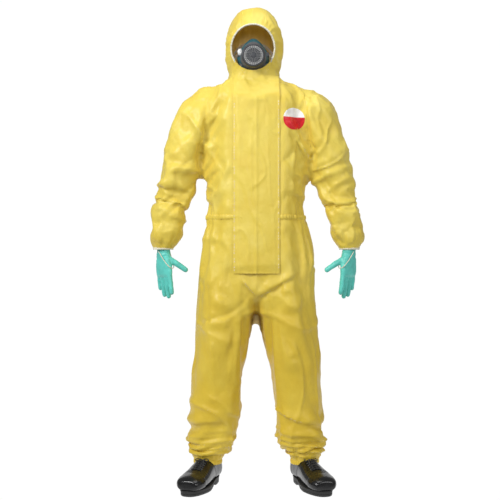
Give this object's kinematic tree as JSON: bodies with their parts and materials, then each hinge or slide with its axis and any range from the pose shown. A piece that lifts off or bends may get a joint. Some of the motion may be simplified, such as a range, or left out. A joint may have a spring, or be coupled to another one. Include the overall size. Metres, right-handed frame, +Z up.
{
  "type": "chemical protective suit",
  "caption": "Hooded coverall with storm flap, elastic cuffs and waist, worn with a half-mask respirator, gloves and safety boots, standing with arms down.",
  "frame": {"origin": "on the floor under the middle of the standing suit", "axes": "+Z up, the front faces -Y, the wearer's left is +X"},
  "size_m": [0.7984, 0.345, 1.768],
  "materials": {
    "yellow_fabric": "satin",
    "pale_elastic": "matte",
    "zip_tape": "matte",
    "zip_plastic": "satin",
    "label_film": "satin",
    "teal_rubber": "satin",
    "grey_plastic": "satin",
    "white_felt": "matte",
    "white_plastic": "gloss",
    "grey_webbing": "matte",
    "glove_rubber": "satin",
    "boot_upper": "gloss",
    "sole_rubber": "matte",
    "lace_cord": "matte",
    "insole_foam": "matte"
  },
  "bodies": {
    "torso": {"front_panel_left": "yellow_fabric", "front_panel_right": "yellow_fabric", "back_panel": "yellow_fabric", "waist_elastic": "pale_elastic", "neck_fabric": "yellow_fabric", "zip_tape_left": "zip_tape", "zip_tape_right": "zip_tape", "zip_chain": "zip_plastic", "zip_bottom_stop": "zip_plastic", "chest_label": "label_film", "shoulder_fabric_left": "yellow_fabric", "shoulder_fabric_right": "yellow_fabric", "seat_left": "yellow_fabric", "seat_right": "yellow_fabric"},
    "hood": {"hood_centre_panel": "yellow_fabric", "hood_left_panel": "yellow_fabric", "hood_right_panel": "yellow_fabric", "face_binding": "pale_elastic", "respirator_facepiece": "teal_rubber", "filter_housing": "grey_plastic", "prefilter_disc": "white_felt", "valve_cover": "white_plastic", "upper_strap": "grey_webbing", "lower_strap": "grey_webbing"},
    "cap": {"filter_cap": "grey_plastic"},
    "flap": {"storm_flap": "yellow_fabric"},
    "slider": {"zip_slider": "zip_plastic"},
    "pull": {"zip_pull": "zip_plastic"},
    "upper_arm_left": {"upper_sleeve_left": "yellow_fabric", "elbow_fabric_left": "yellow_fabric"},
    "forearm_left": {"lower_sleeve_left": "yellow_fabric", "wrist_elastic_left": "pale_elastic", "glove_left": "glove_rubber", "finger_loop_left": "pale_elastic"},
    "upper_leg_left": {"thigh_left": "yellow_fabric", "knee_fabric_left": "yellow_fabric"},
    "lower_leg_left": {"shin_left": "yellow_fabric", "ankle_elastic_left": "pale_elastic", "boot_upper_left": "boot_upper", "outsole_left": "sole_rubber", "insole_left": "insole_foam", "laces_left": "lace_cord"},
    "upper_arm_right": {"upper_sleeve_right": "yellow_fabric", "elbow_fabric_right": "yellow_fabric"},
    "forearm_right": {"lower_sleeve_right": "yellow_fabric", "wrist_elastic_right": "pale_elastic", "glove_right": "glove_rubber", "finger_loop_right": "pale_elastic"},
    "upper_leg_right": {"thigh_right": "yellow_fabric", "knee_fabric_right": "yellow_fabric"},
    "lower_leg_right": {"shin_right": "yellow_fabric", "ankle_elastic_right": "pale_elastic", "boot_upper_right": "boot_upper", "outsole_right": "sole_rubber", "insole_right": "insole_foam", "laces_right": "lace_cord"}
  },
  "joints": [
    {"name": "hood_turn", "type": "hinge", "parent": "torso", "child": "hood", "pos_m": [-0.008, 0.05691, 1.5], "axis": [0, 0, 1], "range_deg": [-40, 40], "deforming": ["neck_fabric"]},
    {"name": "filter_cap_turn", "type": "hinge", "parent": "hood", "child": "cap", "pos_m": [-0.011, -0.08309, 1.601], "axis": [0, -1, 0], "range_deg": [0, 45]},
    {"name": "flap_open", "type": "hinge", "parent": "torso", "child": "flap", "pos_m": [0.085, -0.09609, 1.12], "axis": [0, 0, 1], "range_deg": [0, 150]},
    {"name": "zip_slide", "type": "slide", "parent": "torso", "child": "slider", "axis": [0, 0, -1], "range_m": [0, 0.6]},
    {"name": "zip_pull_swing", "type": "hinge", "parent": "slider", "child": "pull", "pos_m": [0, -0.09369, 1.42], "axis": [0, 1, 0], "range_deg": [-60, 60]},
    {"name": "shoulder_left", "type": "hinge", "parent": "torso", "child": "upper_arm_left", "pos_m": [0.2, 0.03491, 1.4], "axis": [0, -1, 0], "range_deg": [0, 70], "deforming": ["shoulder_fabric_left"]},
    {"name": "elbow_left", "type": "hinge", "parent": "upper_arm_left", "child": "forearm_left", "pos_m": [0.302, 0.03491, 1.16], "axis": [-1, 0, 0], "range_deg": [0, 85], "deforming": ["elbow_fabric_left"]},
    {"name": "hip_left", "type": "hinge", "parent": "torso", "child": "upper_leg_left", "pos_m": [0.1, 0.04191, 0.9], "axis": [-1, 0, 0], "range_deg": [-15, 60], "deforming": ["seat_left"]},
    {"name": "knee_left", "type": "hinge", "parent": "upper_leg_left", "child": "lower_leg_left", "pos_m": [0.146, 0.04291, 0.46], "axis": [1, 0, 0], "range_deg": [0, 70], "deforming": ["knee_fabric_left"]},
    {"name": "shoulder_right", "type": "hinge", "parent": "torso", "child": "upper_arm_right", "pos_m": [-0.2, 0.03491, 1.4], "axis": [0, 1, 0], "range_deg": [0, 70], "deforming": ["shoulder_fabric_right"]},
    {"name": "elbow_right", "type": "hinge", "parent": "upper_arm_right", "child": "forearm_right", "pos_m": [-0.302, 0.03491, 1.16], "axis": [-1, 0, 0], "range_deg": [0, 85], "deforming": ["elbow_fabric_right"]},
    {"name": "hip_right", "type": "hinge", "parent": "torso", "child": "upper_leg_right", "pos_m": [-0.1, 0.04191, 0.9], "axis": [-1, 0, 0], "range_deg": [-15, 60], "deforming": ["seat_right"]},
    {"name": "knee_right", "type": "hinge", "parent": "upper_leg_right", "child": "lower_leg_right", "pos_m": [-0.146, 0.04291, 0.46], "axis": [1, 0, 0], "range_deg": [0, 70], "deforming": ["knee_fabric_right"]}
  ]
}
